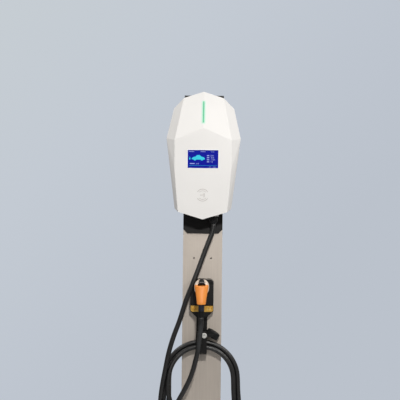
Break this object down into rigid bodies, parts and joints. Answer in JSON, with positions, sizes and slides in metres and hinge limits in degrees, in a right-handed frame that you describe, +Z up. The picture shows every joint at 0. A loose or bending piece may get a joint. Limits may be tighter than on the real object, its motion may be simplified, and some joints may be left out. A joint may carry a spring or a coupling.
{
  "type": "ev charging post",
  "caption": "Faceted wall charger on a steel post, with display, plug holster, cable hook, pistol plug and coiled cable.",
  "frame": {"origin": "on the floor, on the axis of the post, in the lower face of the base plate", "axes": "+Z up the post, +X to the right seen from the front, -Y towards the user"},
  "size_m": [0.309, 0.3082, 1.5],
  "materials": {
    "galvanised_steel": "brushed galvanised",
    "rubber": "matt",
    "black_steel": "satin powder coat",
    "bright_steel": "bright plated",
    "case_plastic": "fine grain",
    "white_shell": "satin",
    "light_guide": "glowing",
    "display_glass": "polished",
    "circuit_board": "solder mask",
    "grey_plastic": "satin",
    "holster_plastic": "satin moulded",
    "zinc_yellow": "yellow zinc passivated",
    "pale_shell": "satin",
    "orange_grip": "soft-touch",
    "copper": "plated contact",
    "cable_sheath": "satin sheath"
  },
  "bodies": {
    "root": {"base_plate": "galvanised_steel", "post_column": "galvanised_steel", "post_top_cap": "rubber", "mounting_plate": "black_steel", "plate_screw_1": "bright_steel", "plate_screw_2": "bright_steel", "plate_screw_3": "bright_steel", "plate_screw_4": "bright_steel", "rear_case": "case_plastic", "case_gasket": "rubber", "front_shell": "white_shell", "case_screw_1": "bright_steel", "case_screw_2": "bright_steel", "case_screw_3": "bright_steel", "case_screw_4": "bright_steel", "supply_grommet": "rubber", "led_light_guide": "light_guide", "led_board": "circuit_board", "display_window": "display_glass", "display_module": "case_plastic", "rfid_board": "circuit_board", "main_board": "circuit_board", "contactor": "grey_plastic", "power_module": "case_plastic", "terminal_block": "grey_plastic", "leakage_sensor": "case_plastic", "outlet_gland_body": "case_plastic", "outlet_gland_locknut": "case_plastic", "outlet_gland_nut": "case_plastic", "holster_body": "holster_plastic", "holster_screw_left": "black_steel", "holster_screw_right": "black_steel", "holster_strap": "zinc_yellow", "strap_screw_left": "zinc_yellow", "strap_screw_right": "zinc_yellow", "cable_hook": "holster_plastic", "hook_screw_1": "black_steel", "hook_screw_2": "black_steel", "hook_bolt_left": "bright_steel", "hook_bolt_right": "bright_steel", "cap_strap_anchor": "rubber", "cable_from_charger": "cable_sheath", "cable_coil": "cable_sheath", "cable_to_gun": "cable_sheath"},
    "gun": {"gun_head": "pale_shell", "gun_grip": "orange_grip", "lever_pin": "bright_steel", "lever_spring": "bright_steel", "plug_housing": "case_plastic", "contact_pin_1": "copper", "contact_pin_2": "copper", "contact_pin_3": "copper", "contact_pin_4": "copper", "contact_pin_5": "copper", "gun_gland_nut": "case_plastic", "strain_relief": "rubber"},
    "lever": {"release_lever": "case_plastic"},
    "cap": {"dust_cap": "rubber", "cap_strap_arm": "rubber"}
  },
  "joints": [
    {"name": "gun_slide", "type": "slide", "parent": "root", "child": "gun", "axis": [0, -1, 0], "range_m": [0, 0.07]},
    {"name": "lever_press", "type": "hinge", "parent": "gun", "child": "lever", "pos_m": [0, -0.1297, 0.879], "axis": [1, 0, 0], "range_deg": [0, 6], "stiffness_Nm_per_rad": 0.4, "springref_deg": -2.86},
    {"name": "cap_swing", "type": "hinge", "parent": "root", "child": "cap", "pos_m": [0.02045, -0.0983, 0.694], "axis": [0, 0, -1], "range_deg": [0, 80]}
  ]
}
